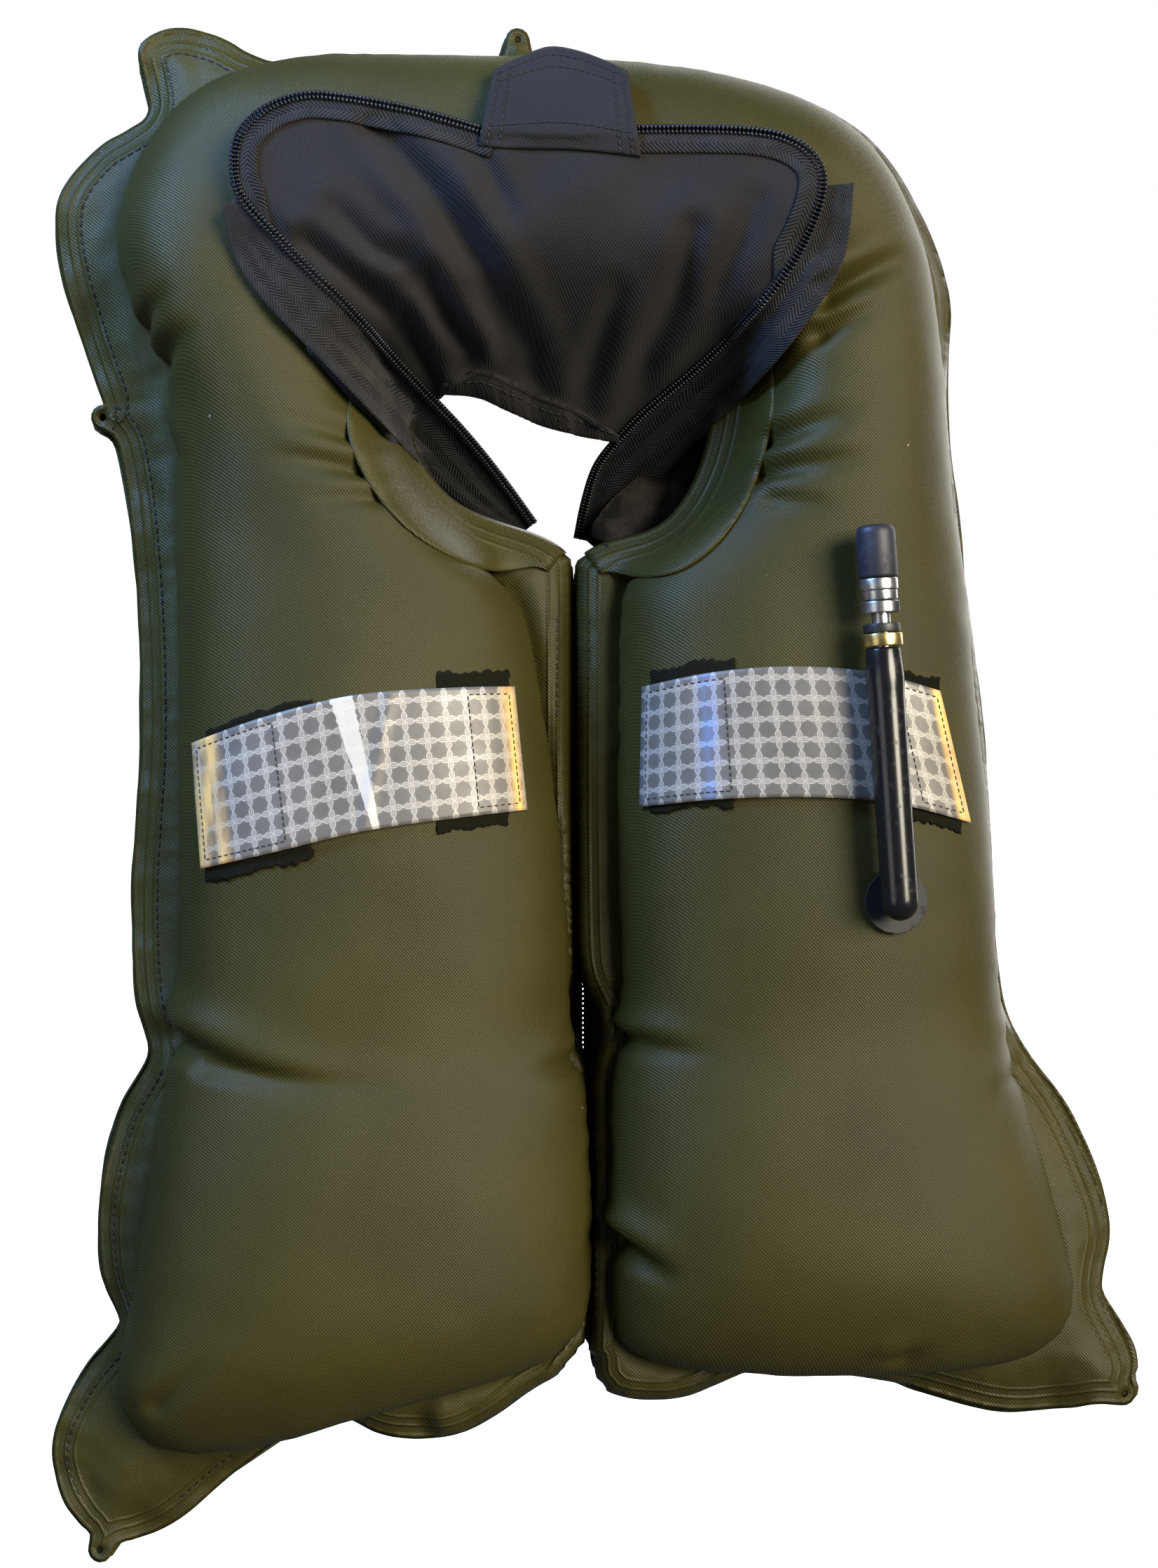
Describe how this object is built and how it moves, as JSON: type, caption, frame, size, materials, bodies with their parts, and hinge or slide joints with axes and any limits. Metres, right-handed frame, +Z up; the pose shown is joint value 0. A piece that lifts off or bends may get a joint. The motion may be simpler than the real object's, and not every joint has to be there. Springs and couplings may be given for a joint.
{
  "type": "inflatable life jacket",
  "caption": "Twin-cell inflatable life jacket shown inflated: horseshoe cells, seam flange, zipped collar, reflective tapes, oral tube and gas inflators.",
  "frame": {"origin": "middle of the collar hem, where the jacket hangs on the wearer's neck", "axes": "+Z up towards the nape, -Y out of the front of the jacket, +X to the right as seen from the front"},
  "size_m": [0.447, 0.1864, 0.632],
  "materials": {
    "olive_fabric": "coated woven nylon with a soft sheen",
    "black_fabric": "matt plain-woven cloth",
    "navy_fabric": "matt woven backing cloth",
    "pile_fabric": "short dark pile",
    "zip_tape": "herringbone zipper tape",
    "zip_teeth": "moulded coil teeth",
    "reflective": "silver retro-reflective film with a printed flower grid",
    "black_rubber": "smooth moulded rubber",
    "brass": "bright",
    "nickel": "nickel plate with knurled rings",
    "steel": "plain",
    "black_plastic": "moulded",
    "red_plastic": "moulded"
  },
  "bodies": {
    "vest": {"back_panel": "navy_fabric", "case_zip_chain": "zip_teeth", "case_zip_stop": "nickel", "case_zip_tape_left": "zip_tape", "case_zip_tape_right": "zip_tape", "collar_hem": "black_fabric", "collar_panel": "black_fabric", "collar_tab": "black_fabric", "front_cell": "olive_fabric", "inflator_base_left": "black_rubber", "inflator_base_right": "black_rubber", "inflator_body_left": "black_plastic", "inflator_body_right": "black_plastic", "inflator_gasket_left": "red_plastic", "inflator_gasket_right": "red_plastic", "inflator_nut_left": "nickel", "inflator_nut_right": "nickel", "inflator_stem_left": "nickel", "inflator_stem_right": "nickel", "lever_pin_left": "steel", "lever_pin_right": "steel", "oral_elbow": "black_rubber", "oral_flange": "black_rubber", "pile_facing": "pile_fabric", "rear_cell": "olive_fabric", "reflective_tape_left": "reflective", "reflective_tape_right": "reflective", "seam_flange": "olive_fabric", "tape_patch_left_inner": "black_fabric", "tape_patch_left_outer": "black_fabric", "tape_patch_right_inner": "black_fabric", "tape_patch_right_outer": "black_fabric", "zip_chain_left": "zip_teeth", "zip_chain_right": "zip_teeth", "zip_inner_tape_left": "zip_tape", "zip_inner_tape_right": "zip_tape", "zip_tape_left": "zip_tape", "zip_tape_right": "zip_tape"},
    "oral_tube": {"oral_tube": "black_rubber", "tube_clamp": "brass", "valve_ferrule": "black_plastic", "valve_neck": "nickel", "valve_spring": "steel"},
    "mouthpiece": {"valve_housing": "nickel", "mouthpiece": "black_rubber", "valve_poppet": "steel", "valve_seal": "red_plastic"},
    "lock_ring": {"lock_ring": "nickel"},
    "zip_slider": {"zip_slider": "nickel"},
    "zip_pull": {"zip_pull": "nickel"},
    "lever_left": {"inflator_lever_left": "red_plastic"},
    "lever_right": {"inflator_lever_right": "red_plastic"},
    "cylinder_left": {"gas_cylinder_left": "steel"},
    "cylinder_right": {"gas_cylinder_right": "steel"}
  },
  "joints": [
    {"name": "tube_lift", "type": "hinge", "parent": "vest", "child": "oral_tube", "pos_m": [0.12, -0.1055, -0.196], "axis": [1, 0, 0], "range_deg": [0, 60], "stiffness_Nm_per_rad": 0.25},
    {"name": "mouthpiece_press", "type": "slide", "parent": "oral_tube", "child": "mouthpiece", "axis": [0.066, 0, -0.9978], "range_m": [0, 0.0035], "stiffness_N_per_m": 600, "springref_m": -0.004, "deforming": ["valve_spring"]},
    {"name": "lock_ring_turn", "type": "hinge", "parent": "mouthpiece", "child": "lock_ring", "pos_m": [0.12, -0.1055, -0.196], "axis": [-0.066, 0, 0.9978], "range_deg": [0, 270]},
    {"name": "slider_run", "type": "slide", "parent": "vest", "child": "zip_slider", "axis": [0, 0, 1], "range_m": [0, 0.27]},
    {"name": "pull_swing", "type": "hinge", "parent": "zip_slider", "child": "zip_pull", "pos_m": [0, 0.053, -0.36], "axis": [1, 0, 0], "range_deg": [0, 150]},
    {"name": "lever_left_pull", "type": "hinge", "parent": "vest", "child": "lever_left", "pos_m": [-0.092, 0.0602, -0.234], "axis": [1, 0, 0], "range_deg": [0, 95]},
    {"name": "lever_right_pull", "type": "hinge", "parent": "vest", "child": "lever_right", "pos_m": [0.096, 0.0602, -0.234], "axis": [1, 0, 0], "range_deg": [0, 95]},
    {"name": "cylinder_left_turn", "type": "hinge", "parent": "vest", "child": "cylinder_left", "pos_m": [-0.092, 0.0572, -0.3], "axis": [0, 0, 1], "continuous": true},
    {"name": "cylinder_right_turn", "type": "hinge", "parent": "vest", "child": "cylinder_right", "pos_m": [0.096, 0.0572, -0.3], "axis": [0, 0, 1], "continuous": true}
  ]
}
